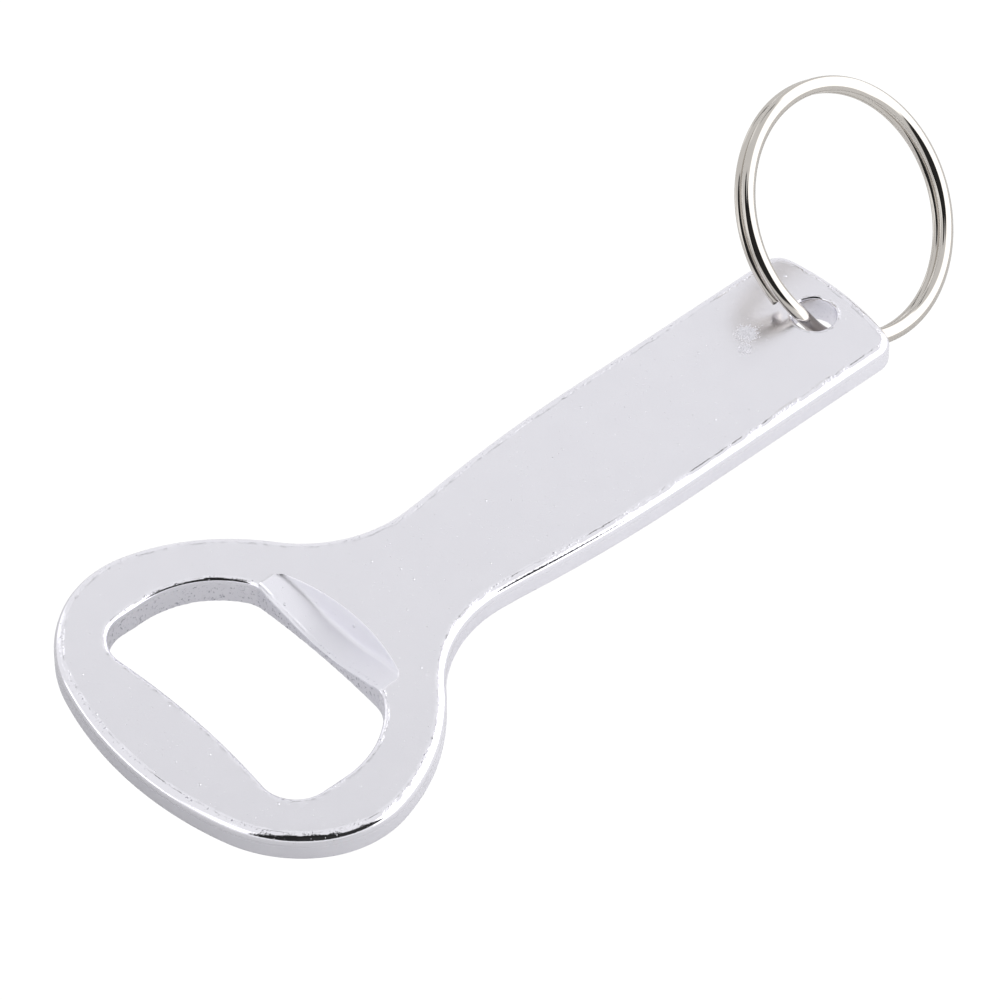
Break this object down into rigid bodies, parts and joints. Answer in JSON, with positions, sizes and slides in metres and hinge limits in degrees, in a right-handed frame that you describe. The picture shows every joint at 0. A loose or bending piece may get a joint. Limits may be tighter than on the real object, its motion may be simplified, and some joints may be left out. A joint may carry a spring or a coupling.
{
  "type": "keychain bottle opener",
  "caption": "Flat cast bottle opener with a cap window and gripping lip in its head, and a split key ring through the hole in its handle.",
  "frame": {"origin": "on the floor of the recess behind the gripping edge, where a cap's skirt bears, on the plate's centre line", "axes": "+X along the handle from the head towards the ring, +Y across the plate to the left, +Z out of the face with the recess"},
  "size_m": [0.1029, 0.0388, 0.0197],
  "materials": {
    "cast_aluminium": "satin, tumbled casting",
    "nickel_plated_steel": "bright nickel plating on spring steel"
  },
  "bodies": {
    "opener": {"opener_plate": "cast_aluminium"},
    "ring": {"split_ring": "nickel_plated_steel"}
  },
  "joints": [
    {"name": "ring_swivel", "type": "hinge", "parent": "opener", "child": "ring", "pos_m": [0.0582, -0.00038, 0.00045], "axis": [0, 0, 1], "range_deg": [-155, 130]}
  ]
}
